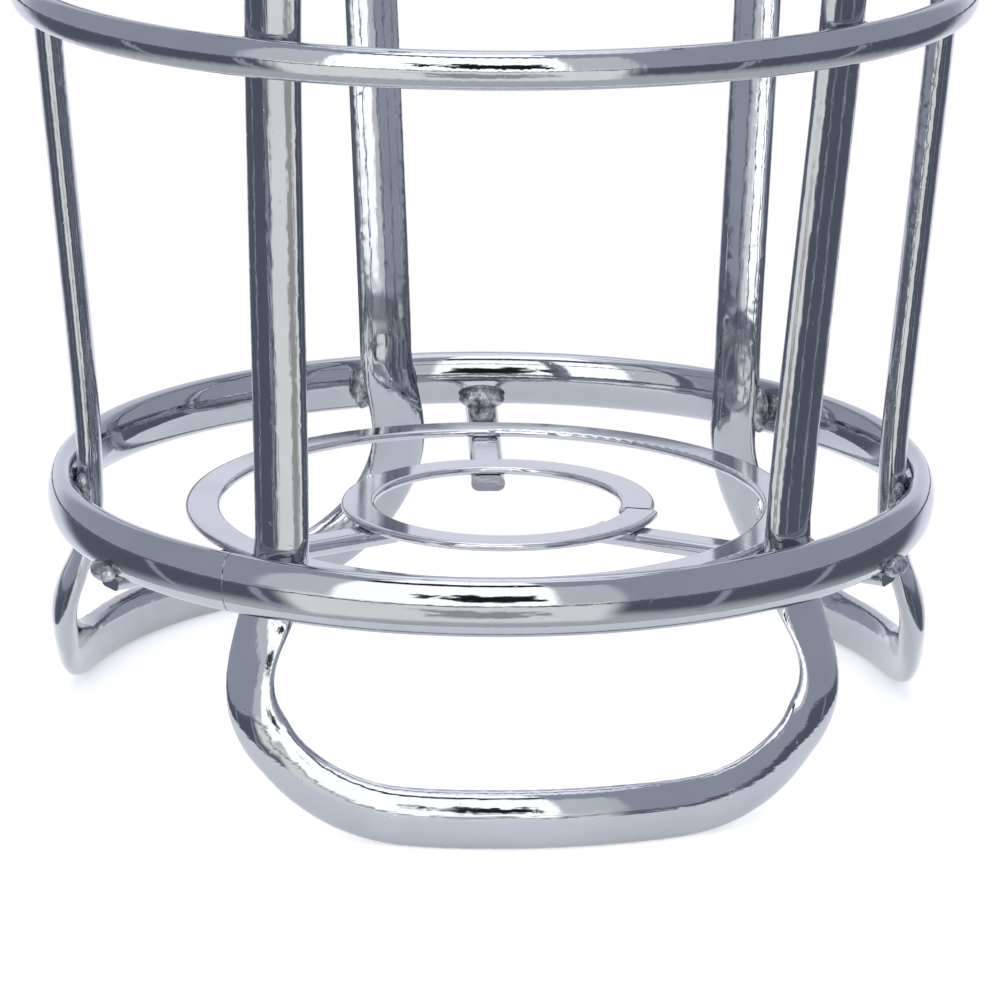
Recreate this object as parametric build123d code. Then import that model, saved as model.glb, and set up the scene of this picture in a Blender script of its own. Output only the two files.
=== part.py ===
from build123d import *
import math
import os

# Wire mug tree: three bent loop wires stand on three foot loops and carry six mug hooks.
# Three rings hold the wires together and two small rings on spokes make an open floor.
# Millimetres, +Z up. Origin: on the table, on the axis of the rings.

os.makedirs("parts", exist_ok=True)

# ---- wire stock ----
LOOP_WIRE_WIDTH = 8.4            # about 6 mm rod rolled to an oval; the wide side faces outward
LOOP_WIRE_THICKNESS = 4.2
UPPER_RING_HEIGHT = 5.3
UPPER_RING_THICKNESS = 3.0
STRIP_WIDTH = 5.0                # floor rings
STRIP_THICKNESS = 1.3
SPOKE_WIDTH = 5.1
SPOKE_THICKNESS = 2.4

# ---- heights above the table ----
LOWER_RING_Z = 34.0
UPPER_RING_Z = 108.6
TOP_RING_Z = 182.0
HOOK_START_Z = 197.0

# ---- how far the loop wires stand from the axis ----
NECK_RADIUS = 58.7               # at the lower ring
FLARE_LOW_Z = 15.0               # the legs flare out between these two heights
FLARE_HIGH_Z = 32.0
LEAN_START_Z = 42.0
LEAN = 0.087                     # outward run per unit of height above the lower ring
LEAN_EASE = 0.045                # how much of the lean is lost above the upper ring
SOFTNESS = 8.0                   # rounds the change of lean

# ---- the three loop wires, not quite alike ----
# direction of the middle, half angle between the uprights, sideways lean in degrees
# per 100 mm of height, degrees each leg spreads below the lower ring, foot radius
FRONT_LOOP = (277.5, 36.8, 3.0, 2.6, 64.5)
LEFT_LOOP = (145.5, 39.1, 2.0, 2.2, 62.9)
RIGHT_LOOP = (21.4, 28.2, 1.5, 0.9, 62.4)
CORNER_LENGTH = 25.0             # rounded foot corner, along the floor
CORNER_HEIGHT = 20.0

# ---- mug hooks ----
HOOK_BEND_RADIUS = 15.0
HOOK_BEND = 58.0                 # degrees turned outward from the upright
HOOK_ARM = 24.0
TIP_BEND_RADIUS = 12.0
TIP_BEND = 48.0                  # degrees turned back up at the tip

# ---- floor ----
FLOOR_OUTER_RADIUS = 42.5
FLOOR_INNER_RADIUS = 20.6
FLOOR_INNER_OFFSET = 1.0         # the inner ring sits this far off the axis, toward +X
BACK_SPOKE_AZIMUTH = 91.5
LEFT_SPOKE_AZIMUTH = 213.0
RIGHT_SPOKE_AZIMUTH = 332.0
SPOKE_INNER_END = 17.6
SPOKE_OUTER_END = 64.0
SPOKE_SINK = 0.45                # how deep the spokes are welded into the lower ring
INNER_JOINT_AZIMUTH = 348.0
INNER_JOINT_STEP = 0.9           # the two ends miss each other by this much
SEAM_AZIMUTH = 235.5             # butt weld of the lower ring
CONTACT = 0.04                   # parts are pressed together by this much where welded


def ease(t):
    # smooth step from 0 to 1
    t = min(max(t, 0.0), 1.0)
    return (1 - math.cos(math.pi * t)) / 2


def ramp(z):
    # zero below the origin, then grows with z, with a soft corner
    return (z + math.hypot(z, SOFTNESS)) / 2


def wire_radius(z, foot_radius=NECK_RADIUS):
    # distance of the loop wire's centre from the axis at height z
    r = foot_radius
    r += (NECK_RADIUS - foot_radius) * ease((z - FLARE_LOW_Z) / (FLARE_HIGH_Z - FLARE_LOW_Z))
    r += LEAN * ramp(z - LEAN_START_Z)
    r -= LEAN_EASE * ramp(z - UPPER_RING_Z)
    return r


def at(radius, azimuth, z):
    a = math.radians(azimuth)
    return Vector(radius * math.cos(a), radius * math.sin(a), z)


def sideways(lean, z):
    # degrees the upright has moved round the axis by height z
    height = min(max(z - LOWER_RING_Z, 0), HOOK_START_Z - LOWER_RING_Z)
    return lean * height / 100


def meridian_tilt(z, foot_radius=NECK_RADIUS):
    # angle of the upright from vertical, in radians, outward positive
    step = 0.2
    run = wire_radius(z + step, foot_radius) - wire_radius(z - step, foot_radius)
    return math.atan2(run, 2 * step)


def hook_points():
    # (radius, height, direction) from the top of the upright to the tip of the hook;
    # direction is the angle from vertical, in radians, outward positive
    tilt = meridian_tilt(HOOK_START_Z)
    points = []
    r = wire_radius(HOOK_START_Z)
    z = HOOK_START_Z
    direction = tilt
    for run, turn, count in (
        (HOOK_BEND_RADIUS * math.radians(HOOK_BEND), math.radians(HOOK_BEND), 10),
        (HOOK_ARM, 0.0, 5),
        (TIP_BEND_RADIUS * math.radians(TIP_BEND), -math.radians(TIP_BEND), 8),
    ):
        for _ in range(count):
            direction += turn / count / 2
            r += run / count * math.sin(direction)
            z += run / count * math.cos(direction)
            direction += turn / count / 2
            points.append((r, z, direction))
    return points


def half_path(half_angle, spread, foot_radius):
    # (radius, height, angle from the loop's middle, direction), tip of the hook first
    rows = []
    for r, z, direction in reversed(hook_points()):
        rows.append((r, z, half_angle, direction))
    corner_top = LOOP_WIRE_WIDTH / 2 + CORNER_HEIGHT
    z = HOOK_START_Z
    while z > corner_top + 1.0:
        share = ease((LOWER_RING_Z + 6 - z) / (LOWER_RING_Z + 6 - corner_top))
        angle = half_angle + spread * share
        rows.append((wire_radius(z, foot_radius), z, angle, meridian_tilt(z, foot_radius)))
        z -= 3.0 if z < 60 else 10.0
    reach = math.radians(half_angle + spread) * foot_radius
    steps = 12
    for i in range(steps + 1):
        turn = math.pi / 2 * i / steps
        z = corner_top - CORNER_HEIGHT * math.sin(turn)
        along = reach - CORNER_LENGTH * (1 - math.cos(turn))
        angle = math.degrees(along / foot_radius)
        rows.append((wire_radius(z, foot_radius), z, angle, meridian_tilt(z, foot_radius)))
    straight = math.degrees((reach - CORNER_LENGTH) / foot_radius)
    rows.append((foot_radius, LOOP_WIRE_WIDTH / 2, straight / 2, 0.0))
    return rows


def loop_wire(middle, half_angle, lean, spread, foot_radius):
    # one flat wire: hook, upright, foot loop, upright, hook; its thin side points at the axis
    half = half_path(half_angle, spread, foot_radius)
    rows = [(r, z, middle - a + sideways(lean, z), d) for r, z, a, d in half]
    rows.append((foot_radius, LOOP_WIRE_WIDTH / 2, middle, 0.0))
    rows += [(r, z, middle + a + sideways(lean, z), d) for r, z, a, d in reversed(half)]
    centre = []
    guide = []
    for r, z, azimuth, direction in rows:
        centre.append(at(r, azimuth, z))
        guide.append(at(r - 8 * math.cos(direction), azimuth, z + 8 * math.sin(direction)))
    path = Spline(*centre)
    side = at(1, rows[0][2] + 90, 0)
    section = Plane(origin=path @ 0, x_dir=side, z_dir=path % 0)
    wire = sweep(section * oval(LOOP_WIRE_WIDTH, LOOP_WIRE_THICKNESS), path=path,
                 binormal=Spline(*guide))
    ends = [f.edges() for f in wire.faces() if f.geom_type == GeomType.PLANE and f.area < 40]
    for edges in ends:
        wire = fillet(edges, 0.8)
    return wire


def oval(width, thickness):
    # cross-section of rolled wire, crowned on both wide sides
    return Ellipse(width / 2, thickness / 2)


def ring(radius, z, height, thickness):
    # closed ring of oval wire, wide side facing outward
    section = Plane.XZ * Pos(radius, z) * Rot(0, 0, 90) * oval(height, thickness)
    return revolve(section, Axis.Z)


def ring_radius(z, thickness):
    # centre radius of a ring that touches the outside of the uprights at height z
    return wire_radius(z) + LOOP_WIRE_THICKNESS / 2 + thickness / 2 - CONTACT


def seam_groove(radius, z, azimuth):
    # shallow line left round the wire by a ground butt weld
    core = extrude(oval(LOOP_WIRE_WIDTH - 0.2, LOOP_WIRE_THICKNESS - 0.2), 1, both=True)
    band = Box(LOOP_WIRE_WIDTH + 2, LOOP_WIRE_THICKNESS + 2, 0.15)
    place = Plane(origin=at(radius, azimuth, z), x_dir=(0, 0, 1), z_dir=at(1, azimuth + 90, 0))
    return place * (band - core)


def strip_section():
    return RectangleRounded(STRIP_WIDTH, STRIP_THICKNESS, STRIP_THICKNESS / 2 - 0.05)


def floor_ring(radius, z):
    return revolve(Plane.XZ * Pos(radius, z) * strip_section(), Axis.Z)


def open_floor_ring(radius, z):
    # strip bent to a ring whose two ends meet with a gap and a sideways step:
    # two half turns, the second one drawn about a centre shifted by half the step
    gap = math.degrees(0.5 / radius)
    first = revolve(Plane.XZ * Pos(radius, z) * strip_section(), Axis.Z, 180 - gap / 2)
    wider = radius + INNER_JOINT_STEP / 2
    second = revolve(Plane.XZ * Pos(wider, z) * strip_section(), Axis.Z, 180 - gap / 2)
    first = Rot(0, 0, gap / 2) * first
    second = Pos(INNER_JOINT_STEP / 2, 0, 0) * Rot(0, 0, 180) * second
    return Pos(FLOOR_INNER_OFFSET, 0, 0) * Rot(0, 0, INNER_JOINT_AZIMUTH) * (first + second)


def spoke(azimuth, top):
    length = SPOKE_OUTER_END - SPOKE_INNER_END
    section = RectangleRounded(SPOKE_WIDTH, SPOKE_THICKNESS, SPOKE_THICKNESS / 2 - 0.05)
    place = Plane(
        origin=at(SPOKE_INNER_END, azimuth, top - SPOKE_THICKNESS / 2),
        x_dir=at(1, azimuth + 90, 0),
        z_dir=at(1, azimuth, 0),
    )
    return extrude(place * section, length)


def bead(radius, azimuth, z, half_length, half_width, lying=False):
    # spindle of weld metal, round across, standing up or lying along the ring
    half = Ellipse(half_width, half_length) & Pos(half_width, 0) * Rectangle(2 * half_width, 4 * half_length)
    spindle = revolve(Plane.XZ * half, Axis.Z)
    if lying:
        spindle = Rot(90, 0, 0) * spindle
    return Pos(*at(radius, azimuth, z)) * Rot(0, 0, azimuth) * spindle


def upright_azimuths(z):
    for middle, half_angle, lean, spread, foot_radius in (FRONT_LOOP, LEFT_LOOP, RIGHT_LOOP):
        for side in (-1, 1):
            yield middle + side * half_angle + sideways(lean, z)


def ring_welds(z, height, thickness):
    # a bead on each side of each upright, sunk into the corner between upright and ring
    face = ring_radius(z, thickness) - thickness / 2
    offset = math.degrees(3.8 / face)
    beads = []
    for azimuth in upright_azimuths(z):
        for side in (-1, 1):
            beads.append(bead(face - 0.9, azimuth + side * offset, z, height * 0.42, 1.5))
    return Compound(children=beads)


def save(shape, name):
    export_step(shape, "parts/" + name + ".step")


# ---- loop wires ----
front_wire = loop_wire(*FRONT_LOOP)
left_wire = loop_wire(*LEFT_LOOP)
right_wire = loop_wire(*RIGHT_LOOP)

# ---- rings round the uprights ----
lower_radius = ring_radius(LOWER_RING_Z, LOOP_WIRE_THICKNESS)
lower_ring = ring(lower_radius, LOWER_RING_Z, LOOP_WIRE_WIDTH, LOOP_WIRE_THICKNESS)
lower_ring -= seam_groove(lower_radius, LOWER_RING_Z, SEAM_AZIMUTH)
upper_ring = ring(ring_radius(UPPER_RING_Z, UPPER_RING_THICKNESS), UPPER_RING_Z,
                  UPPER_RING_HEIGHT, UPPER_RING_THICKNESS)
top_ring = ring(ring_radius(TOP_RING_Z, UPPER_RING_THICKNESS), TOP_RING_Z,
                UPPER_RING_HEIGHT, UPPER_RING_THICKNESS)

# ---- floor: spokes under the lower ring, two strip rings lying on the spokes ----
spoke_top = LOWER_RING_Z - LOOP_WIRE_WIDTH / 2 + SPOKE_SINK
floor_z = spoke_top + STRIP_THICKNESS / 2 - CONTACT
outer_floor_ring = floor_ring(FLOOR_OUTER_RADIUS, floor_z)
inner_floor_ring = open_floor_ring(FLOOR_INNER_RADIUS, floor_z)
spoke_azimuths = (BACK_SPOKE_AZIMUTH, LEFT_SPOKE_AZIMUTH, RIGHT_SPOKE_AZIMUTH)
spokes = [spoke(azimuth, spoke_top) for azimuth in spoke_azimuths]

# ---- welds ----
spoke_beads = []
for spoke_azimuth in spoke_azimuths:
    inner = bead(lower_radius - 2.6, spoke_azimuth, spoke_top + 0.9, 3.6, 1.7, lying=True)
    outer = bead(lower_radius + 2.0, spoke_azimuth, spoke_top + 0.4, 2.8, 1.5, lying=True)
    spoke_beads += [inner, outer]
spoke_welds = Compound(children=spoke_beads)
lower_welds = ring_welds(LOWER_RING_Z, LOOP_WIRE_WIDTH, LOOP_WIRE_THICKNESS)
upper_welds = ring_welds(UPPER_RING_Z, UPPER_RING_HEIGHT, UPPER_RING_THICKNESS)
top_welds = ring_welds(TOP_RING_Z, UPPER_RING_HEIGHT, UPPER_RING_THICKNESS)

save(front_wire, "loop_wire_front")
save(left_wire, "loop_wire_left")
save(right_wire, "loop_wire_right")
save(lower_ring, "lower_ring")
save(upper_ring, "upper_ring")
save(top_ring, "top_ring")
save(outer_floor_ring, "floor_outer_ring")
save(inner_floor_ring, "floor_inner_ring")
save(spokes[0], "floor_spoke_back")
save(spokes[1], "floor_spoke_left")
save(spokes[2], "floor_spoke_right")
save(spoke_welds, "spoke_welds")
save(lower_welds, "lower_ring_welds")
save(upper_welds, "upper_ring_welds")
save(top_welds, "top_ring_welds")
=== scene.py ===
import bpy
import math
from mathutils import Matrix, Vector


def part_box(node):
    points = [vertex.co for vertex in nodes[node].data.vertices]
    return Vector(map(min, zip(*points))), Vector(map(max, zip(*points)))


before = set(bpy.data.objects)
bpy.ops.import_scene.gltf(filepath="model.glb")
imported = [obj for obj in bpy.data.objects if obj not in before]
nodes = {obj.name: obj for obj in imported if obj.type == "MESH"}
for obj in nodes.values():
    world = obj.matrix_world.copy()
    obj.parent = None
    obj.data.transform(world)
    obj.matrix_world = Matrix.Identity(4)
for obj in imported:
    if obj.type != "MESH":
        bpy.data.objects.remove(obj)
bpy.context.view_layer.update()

# ---- the lower ring's height, which the camera is set from ----
low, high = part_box("lower_ring")
ring_z = (low[2] + high[2]) / 2

# ---- chrome and weld metal ----
CHROME_TINT = (0.42, 0.44, 0.47)
STRIP_TINT = (0.52, 0.53, 0.565)
WELD_HOLLOW_PAINTED_SHADE_TINT = (0.10, 0.10, 0.11)
# near-black tint: painted shade for the hollows between the weld's lumps
WELD_TOP_TINT = (0.50, 0.51, 0.54)
HAZE_TINT = 0.93                  # share of the tint that is left where the haze is thick
HAZE_ROUGH = 1.5                  # times the roughness where the haze is thick
CLEAR_ROUGH = 0.7                 # times the roughness where there is none

# noise scales, in cells per metre
WAVE_SCALE = 45
HAZE_SCALE = 60
PIT_SCALE = 900
MARK_SCALE = 1100
LUMP_SCALE = 700

# noise stretch along x, y and z; a small number draws the noise out that way
EVEN = (1, 1, 1)
UPRIGHT_GRAIN = (1, 1, 0.02)
LEVEL_GRAIN = (0.05, 0.05, 1)
RING_GRAIN = (0.25, 0.25, 1)
STRIP_GRAIN = (0.3, 0.3, 1)

# heights in metres between which the marks turn from level to upright
LEVEL_MARKS_END = 0.010
UPRIGHT_MARKS_START = 0.026

# bump distances in metres, and bump strengths
WAVE_DISTANCE = 0.0010
MARK_DISTANCE = 0.0002
PIT_DISTANCE = 0.0001
LUMP_DISTANCE = 0.0006
WAVE_STRENGTH = 0.03
LUMP_STRENGTH = 0.8

# ---- paper and light: lengths in metres, the lamp in watts ----
SHEET_RADIUS = 0.088
SHEET_SIDES = 96
SHEET_GLOW = 0.40
LAMP_PLACE = Vector((0, 0.05, 1.1))
LAMP_SIZE = 0.9
LAMP_POWER = 2

# ---- camera: distances in metres, angles in radians, lens and sensor in millimetres ----
UNIT = 0.062                      # the camera's distances are counted in this, about a ring radius
DISTANCE = 11.52 * UNIT
HEIGHT = ring_z + 3.1971 * UNIT
PITCH = 0.2741
ROLL = 0.0066
LENS = 181.1
SENSOR_WIDTH = 36
SIDE_SHIFT = 0.0089
NEAREST = 0.01


# ------------------------------------------------------------------ node helpers
def new_material(name):
    mat = bpy.data.materials.new(name)
    mat.use_nodes = True
    tree = mat.node_tree
    return mat, tree, tree.nodes["Principled BSDF"]


def add(tree, kind, **settings):
    node = tree.nodes.new(kind)
    for key, value in settings.items():
        setattr(node, key, value)
    return node


def link(tree, source, target):
    tree.links.new(source, target)


def noise(tree, vector, scale, detail, roughness):
    node = add(tree, "ShaderNodeTexNoise")
    node.inputs["Scale"].default_value = scale
    node.inputs["Detail"].default_value = detail
    node.inputs["Roughness"].default_value = roughness
    link(tree, vector, node.inputs["Vector"])
    return node.outputs["Fac"]


def ramp(tree, value, stops):
    node = add(tree, "ShaderNodeValToRGB")
    elements = node.color_ramp.elements
    while len(elements) < len(stops):
        elements.new(0.5)
    for element, (place, colour) in zip(elements, stops):
        element.position = place
        element.color = (*colour, 1.0)
    link(tree, value, node.inputs["Fac"])
    return node.outputs["Color"]


def grey(value):
    return (value, value, value)


def ease(tree, value, start, end, first=0.0, last=1.0):
    # goes smoothly from first to last as the value goes from start to end
    node = add(tree, "ShaderNodeMapRange", interpolation_type="SMOOTHSTEP")
    link(tree, value, node.inputs["Value"])
    node.inputs["From Min"].default_value = start
    node.inputs["From Max"].default_value = end
    node.inputs["To Min"].default_value = first
    node.inputs["To Max"].default_value = last
    return node.outputs[0]


def math_node(tree, operation, a, b=None, c=None):
    node = add(tree, "ShaderNodeMath", operation=operation)
    for index, value in enumerate((a, b, c)):
        if value is None:
            continue
        if isinstance(value, (int, float)):
            node.inputs[index].default_value = value
        else:
            link(tree, value, node.inputs[index])
    return node.outputs[0]


def stretched(tree, scale):
    coord = add(tree, "ShaderNodeTexCoord")
    mapping = add(tree, "ShaderNodeMapping")
    mapping.inputs["Scale"].default_value = scale
    link(tree, coord.outputs["Object"], mapping.inputs["Vector"])
    return mapping.outputs["Vector"]


def bump(tree, shader, heights):
    # heights: (value, strength, distance), stacked one on the other
    normal = None
    for value, strength, distance in heights:
        node = add(tree, "ShaderNodeBump")
        node.inputs["Strength"].default_value = strength
        node.inputs["Distance"].default_value = distance
        link(tree, value, node.inputs["Height"])
        if normal is not None:
            link(tree, normal, node.inputs["Normal"])
        normal = node.outputs["Normal"]
    link(tree, normal, shader.inputs["Normal"])


# ------------------------------------------------------------------ materials
def drawing_marks(tree, grain):
    return noise(tree, stretched(tree, grain), MARK_SCALE, detail=3, roughness=0.6)


def marks_along_wire(tree):
    # upright on the uprights, level along the foot loops
    upright = drawing_marks(tree, UPRIGHT_GRAIN)
    level = drawing_marks(tree, LEVEL_GRAIN)
    coord = add(tree, "ShaderNodeTexCoord")
    split = add(tree, "ShaderNodeSeparateXYZ")
    link(tree, coord.outputs["Object"], split.inputs[0])
    share = ease(tree, split.outputs[2], LEVEL_MARKS_END, UPRIGHT_MARKS_START)
    blend = add(tree, "ShaderNodeMix", data_type="FLOAT")
    link(tree, share, blend.inputs[0])
    link(tree, level, blend.inputs[2])
    link(tree, upright, blend.inputs[3])
    return blend.outputs[0]


def chrome(name, tint, grain, rough, mark_strength, pit_strength):
    # bright plate: slow waves in the steel under it, drawing marks, tiny pits and faint haze;
    # the marks follow the wire where no grain is given
    mat, tree, shader = new_material(name)
    shader.inputs["Metallic"].default_value = 1.0
    plain = stretched(tree, EVEN)
    haze = noise(tree, plain, HAZE_SCALE, detail=4, roughness=0.6)
    marks = marks_along_wire(tree) if grain is None else drawing_marks(tree, grain)
    specks = noise(tree, plain, PIT_SCALE, detail=1, roughness=0.4)
    pit = ramp(tree, specks, [(0.22, grey(0)), (0.25, grey(1))])
    hazy_tint = tuple(c * HAZE_TINT for c in tint)
    colour = ramp(tree, haze, [(0.35, hazy_tint), (0.62, tint)])
    link(tree, colour, shader.inputs["Base Color"])
    rough_map = ramp(tree, haze, [(0.3, grey(rough * HAZE_ROUGH)), (0.7, grey(rough * CLEAR_ROUGH))])
    link(tree, rough_map, shader.inputs["Roughness"])
    waves = noise(tree, plain, WAVE_SCALE, detail=1, roughness=0.3)
    bump(tree, shader, [
        (waves, WAVE_STRENGTH, WAVE_DISTANCE),
        (marks, mark_strength, MARK_DISTANCE),
        (pit, pit_strength, PIT_DISTANCE),
    ])
    return mat


def weld_metal(name):
    # plated weld bead: lumpy, duller, with painted shade darkening the hollows
    mat, tree, shader = new_material(name)
    shader.inputs["Metallic"].default_value = 1.0
    lumps = noise(tree, stretched(tree, EVEN), LUMP_SCALE, detail=4, roughness=0.6)
    # colour runs from painted shade in the lump hollows to the plain weld tint on the tops
    colour = ramp(tree, lumps, [(0.35, WELD_HOLLOW_PAINTED_SHADE_TINT), (0.65, WELD_TOP_TINT)])
    link(tree, colour, shader.inputs["Base Color"])
    rough_map = ramp(tree, lumps, [(0.3, grey(0.45)), (0.7, grey(0.22))])
    link(tree, rough_map, shader.inputs["Roughness"])
    bump(tree, shader, [(lumps, LUMP_STRENGTH, LUMP_DISTANCE)])
    return mat


wire_chrome = chrome(
    "chrome_wire", CHROME_TINT, None, rough=0.080, mark_strength=0.14, pit_strength=0.25)
ring_chrome = chrome(
    "chrome_ring", CHROME_TINT, RING_GRAIN, rough=0.050, mark_strength=0.05, pit_strength=0.10)
floor_chrome = chrome(
    "chrome_floor", STRIP_TINT, STRIP_GRAIN, rough=0.09, mark_strength=0.05, pit_strength=0.10)
weld = weld_metal("weld_metal")

for name, node in nodes.items():
    if name.startswith("loop_wire"):
        mat = wire_chrome
    elif name.endswith("welds"):
        mat = weld
    elif name.startswith("floor_"):
        mat = floor_chrome
    else:
        mat = ring_chrome
    node.data.materials.clear()
    node.data.materials.append(mat)


# ------------------------------------------------------------------ stage
def sheet_floor():
    # round sheet of white paper under the stand; past its edge the world is just as white to the camera
    bpy.ops.mesh.primitive_circle_add(vertices=SHEET_SIDES, radius=SHEET_RADIUS, fill_type="NGON")
    paper = bpy.context.object
    paper.name = "paper"
    mat, tree, shader = new_material("paper")
    shader.inputs["Base Color"].default_value = (0.90, 0.90, 0.91, 1)
    shader.inputs["Roughness"].default_value = 0.7
    shader.inputs["Emission Color"].default_value = (1, 1, 1, 1)
    shader.inputs["Emission Strength"].default_value = SHEET_GLOW
    paper.data.materials.append(mat)


sheet_floor()


# ------------------------------------------------------------------ light
def band(tree, value, low_edge, high_edge, soft):
    # one between the two edges, zero outside, with soft edges
    rise = ease(tree, value, low_edge - soft, low_edge + soft)
    fall = ease(tree, value, high_edge - soft, high_edge + soft, first=1.0, last=0.0)
    return math_node(tree, "MULTIPLY", rise, fall)


def degrees(tree, value):
    return math_node(tree, "MULTIPLY", value, 180 / math.pi)


def studio_world():
    # what the chrome mirrors, by compass direction and height in degrees;
    # direction 0 is the front, negative to the left, and height 0 is level
    world = bpy.data.worlds.new("studio")
    bpy.context.scene.world = world
    world.use_nodes = True
    tree = world.node_tree
    tree.nodes.clear()
    coord = add(tree, "ShaderNodeTexCoord")
    direction = coord.outputs["Generated"]
    split = add(tree, "ShaderNodeSeparateXYZ")
    link(tree, direction, split.inputs[0])
    x, y, z = split.outputs
    front = math_node(tree, "MULTIPLY", y, -1.0)
    side = degrees(tree, math_node(tree, "ARCTAN2", x, front))
    away = math_node(tree, "ABSOLUTE", side)
    level = degrees(tree, math_node(tree, "ARCSINE", z))

    # the same two angles with a ragged wander, for the edges of the dark blotches
    wander = 13
    wobble = noise(tree, direction, scale=9, detail=3, roughness=0.5)
    ragged = math_node(tree, "MULTIPLY_ADD", wobble, 2 * wander, -wander)
    side_ragged = math_node(tree, "ADD", side, ragged)
    level_ragged = math_node(tree, "ADD", level, math_node(tree, "MULTIPLY", ragged, -0.5))

    def patch(sides, levels, soft, across=side, up=level):
        wide = band(tree, across, sides[0], sides[1], soft)
        tall = band(tree, up, levels[0], levels[1], soft)
        return math_node(tree, "MULTIPLY", wide, tall)

    def mix(base, colour, fac):
        node = add(tree, "ShaderNodeMix", data_type="RGBA")
        link(tree, fac, node.inputs[0])
        for socket, tone in ((node.inputs[6], base), (node.inputs[7], colour)):
            if isinstance(tone, tuple):
                socket.default_value = (*tone, 1)
            else:
                link(tree, tone, socket)
        return node.outputs[2]

    room = (0.56, 0.58, 0.69)
    slate = (0.165, 0.185, 0.235)
    dusk = (0.30, 0.32, 0.37)
    dim_table = (0.56, 0.58, 0.62)
    table = (0.80, 0.82, 0.86)
    smoke = (0.62, 0.60, 0.57)
    backdrop = (1.02, 1.02, 1.14)
    silver = (1.45, 1.43, 1.38)
    white = (2.5, 2.5, 2.5)
    lobe = (1.02, 1.04, 1.08)
    black = (0.02, 0.02, 0.022)

    # below the horizon the room goes from table, straight down, to slate
    below = add(tree, "ShaderNodeMapRange")
    link(tree, level, below.inputs["Value"])
    below.inputs["From Min"].default_value = -90
    below.inputs["From Max"].default_value = 0
    fade_heights = [(-40.5, table), (-33.3, dim_table), (-28.8, dusk), (-25.2, slate)]
    fade = ramp(tree, below.outputs[0], [(1 + height / 90, tone) for height, tone in fade_heights])

    # edges set past every real direction, for a patch that runs on
    nadir = -200
    zenith = 200
    behind = 400

    # each layer covers those before it: tone, then (from, to) across, (from, to) up, softness
    layers = [
        (fade, band(tree, level, nadir, -8, 2)),
        (table, patch((-1, 42), (nadir, -30), 8, across=away)),
        (silver, patch((-54, 32), (-40, 6), 4)),
        (backdrop, band(tree, away, 142, behind, 8)),
        (backdrop, band(tree, level, 72, zenith, 4)),
        (white, patch((-40, 17), (-6, 43), 1.5)),
        (lobe, patch((17, 33), (-4, 41), 1.5)),
        (lobe, patch((-60, -40), (-2, 46), 2.0)),
        (white, patch((-40, 17), (43, 72), 1.5)),
        (black, patch((-40, 17), (45, 55), 1.0)),
        (black, patch((-20, -11), (6, 15), 1.5, side_ragged, level_ragged)),
        (black, patch((-8, 12), (2, 17), 1.5, side_ragged, level_ragged)),
        (smoke, patch((-16, 13), (-30, -16), 2.0, side_ragged, level_ragged)),
        (room, patch((60, 63), (-38, -8), 0.8, across=away)),
        (room, patch((94, 97), (-38, -8), 0.8, across=away)),
        (slate, band(tree, level, -8.5, -6.5, 0.5)),
    ]
    colour = room
    for tone, mask in layers:
        colour = mix(colour, tone, mask)

    # the studio is for reflections and light; the camera itself sees plain white
    studio = add(tree, "ShaderNodeBackground")
    link(tree, colour, studio.inputs["Color"])
    studio.inputs["Strength"].default_value = 1.0
    clean = add(tree, "ShaderNodeBackground")
    clean.inputs["Color"].default_value = (1, 1, 1, 1)
    clean.inputs["Strength"].default_value = 1.0
    path = add(tree, "ShaderNodeLightPath")
    blend = add(tree, "ShaderNodeMixShader")
    link(tree, path.outputs["Is Camera Ray"], blend.inputs[0])
    link(tree, studio.outputs[0], blend.inputs[1])
    link(tree, clean.outputs[0], blend.inputs[2])
    out = add(tree, "ShaderNodeOutputWorld")
    link(tree, blend.outputs[0], out.inputs["Surface"])


def overhead_light():
    data = bpy.data.lights.new("overhead", "AREA")
    data.shape = "RECTANGLE"
    data.size = LAMP_SIZE
    data.size_y = LAMP_SIZE
    data.energy = LAMP_POWER
    lamp = bpy.data.objects.new("overhead", data)
    bpy.context.scene.collection.objects.link(lamp)
    lamp.location = LAMP_PLACE
    lamp.rotation_mode = "QUATERNION"
    lamp.rotation_quaternion = (Vector((0, 0, 0)) - LAMP_PLACE).to_track_quat("-Z", "Y")


studio_world()
overhead_light()

# ------------------------------------------------------------------ camera
camera_data = bpy.data.cameras.new("camera")
camera_data.sensor_width = SENSOR_WIDTH
camera_data.lens = LENS
camera_data.shift_x = SIDE_SHIFT
camera_data.clip_start = NEAREST
camera = bpy.data.objects.new("camera", camera_data)
bpy.context.scene.collection.objects.link(camera)
camera.location = (0, -DISTANCE, HEIGHT)
tilt_down = Matrix.Rotation(math.pi / 2 - PITCH, 3, "X")
lean = Matrix.Rotation(ROLL, 3, "Z")
camera.rotation_euler = (tilt_down @ lean).to_euler()
bpy.context.scene.camera = camera

view = bpy.context.scene.view_settings
view.view_transform = "Standard"
view.look = "None"
